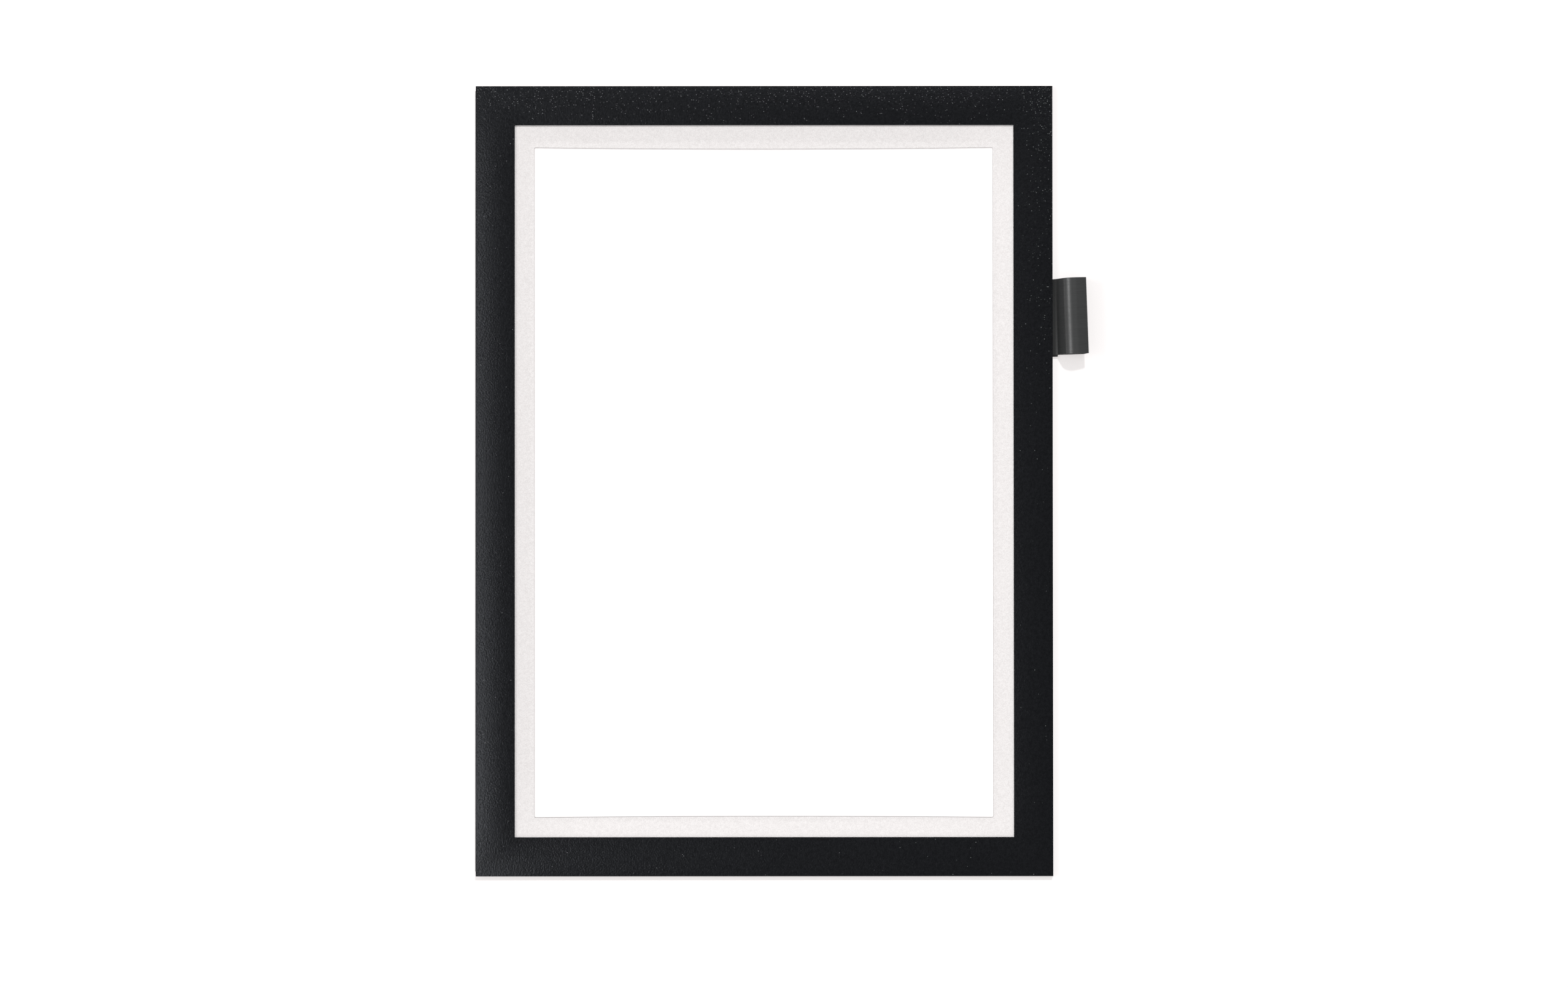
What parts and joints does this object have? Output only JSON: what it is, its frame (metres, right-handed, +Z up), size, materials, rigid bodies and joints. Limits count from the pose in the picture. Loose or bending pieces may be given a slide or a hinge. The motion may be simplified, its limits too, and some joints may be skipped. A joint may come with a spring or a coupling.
{
  "type": "magnetic document frame",
  "caption": "Flat wall-mounted magnetic frame for a sheet of paper: black border hinged at the left, frosted rim, open middle to write through, soft pen loop on the right edge.",
  "frame": {"origin": "middle of the frame on the wall plane, where the frame is open", "axes": "+Z up along the long side, +X to the right as seen from the front, +Y into the wall, so the front faces -Y"},
  "size_m": [0.2506, 0.0089, 0.323],
  "materials": {
    "cover_film": "black film with a fine embossed grain, matte with small glints",
    "frosted_film": "frosted pale film, finely grained",
    "magnet_strip": "ferrite-filled rubber strip, matte dark brown-grey",
    "hinge_film": "thin black film tape, satin",
    "loop_band": "dark grey soft band, satin with fine cross lines",
    "adhesive": "milky double-sided foam tape, finely cloudy"
  },
  "bodies": {
    "back": {"back_frame": "frosted_film", "back_magnet_top": "magnet_strip", "back_magnet_bottom": "magnet_strip", "back_magnet_left": "magnet_strip", "back_magnet_right_upper": "magnet_strip", "back_magnet_right_lower": "magnet_strip", "hinge_tape": "hinge_film", "pen_loop": "loop_band", "pen_loop_pad": "adhesive", "adhesive_top": "adhesive", "adhesive_bottom": "adhesive", "adhesive_left": "adhesive", "adhesive_right": "adhesive"},
    "front": {"front_cover": "cover_film", "front_magnet_top": "magnet_strip", "front_magnet_bottom": "magnet_strip", "front_magnet_left": "magnet_strip", "front_magnet_right": "magnet_strip"}
  },
  "joints": [
    {"name": "front_hinge", "type": "hinge", "parent": "back", "child": "front", "pos_m": [-0.118, -0.0017, 0], "axis": [0, 0, -1], "range_deg": [0, 180], "deforming": ["hinge_tape"]}
  ]
}
